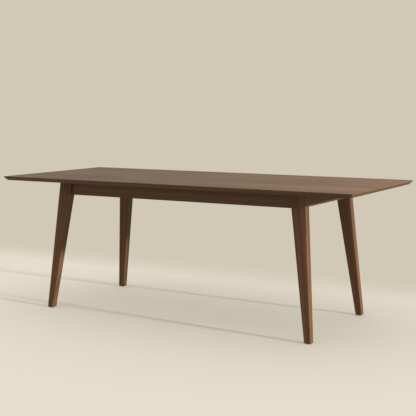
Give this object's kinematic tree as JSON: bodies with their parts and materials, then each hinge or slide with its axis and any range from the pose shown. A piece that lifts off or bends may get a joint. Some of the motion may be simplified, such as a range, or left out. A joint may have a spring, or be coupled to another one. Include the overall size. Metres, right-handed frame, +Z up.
{
  "type": "dining table",
  "caption": "Rectangular dining table with a thin undercut top, a set-in apron frame and splayed, tapered legs that unbolt from corner blocks.",
  "frame": {"origin": "on the floor, under the middle of the top", "axes": "+X along the table to the right, +Y to the rear, +Z up"},
  "size_m": [2.1, 0.9, 0.75],
  "materials": {
    "face_veneer": "satin lacquer",
    "solid_walnut": "satin lacquer",
    "backing_veneer": "sealed",
    "core_board": "raw board",
    "frame_timber": "raw hardwood",
    "zinc_steel": "zinc plated",
    "nylon": "moulded"
  },
  "bodies": {
    "root": {"top_veneer": "face_veneer", "backing_veneer": "backing_veneer", "top_core": "core_board", "edge_lipping_front": "solid_walnut", "edge_lipping_rear": "solid_walnut", "edge_lipping_left": "solid_walnut", "edge_lipping_right": "solid_walnut", "apron_front": "solid_walnut", "apron_rear": "solid_walnut", "apron_left": "solid_walnut", "apron_right": "solid_walnut", "leg_front_left": "solid_walnut", "leg_front_right": "solid_walnut", "leg_rear_left": "solid_walnut", "leg_rear_right": "solid_walnut", "corner_block_front_left": "frame_timber", "corner_block_front_right": "frame_timber", "corner_block_rear_left": "frame_timber", "corner_block_rear_right": "frame_timber", "cross_rail_left": "frame_timber", "cross_rail_right": "frame_timber", "rail_dowels": "frame_timber", "foot_glide_front_left": "nylon", "foot_glide_front_right": "nylon", "foot_glide_rear_left": "nylon", "foot_glide_rear_right": "nylon", "hanger_bolts": "zinc_steel", "flat_washers": "zinc_steel", "spring_washers": "zinc_steel", "hex_nuts": "zinc_steel", "block_screws": "zinc_steel", "top_screws": "zinc_steel", "top_clips": "zinc_steel", "clip_screws": "zinc_steel", "glide_nails": "zinc_steel"}
  },
  "joints": []
}
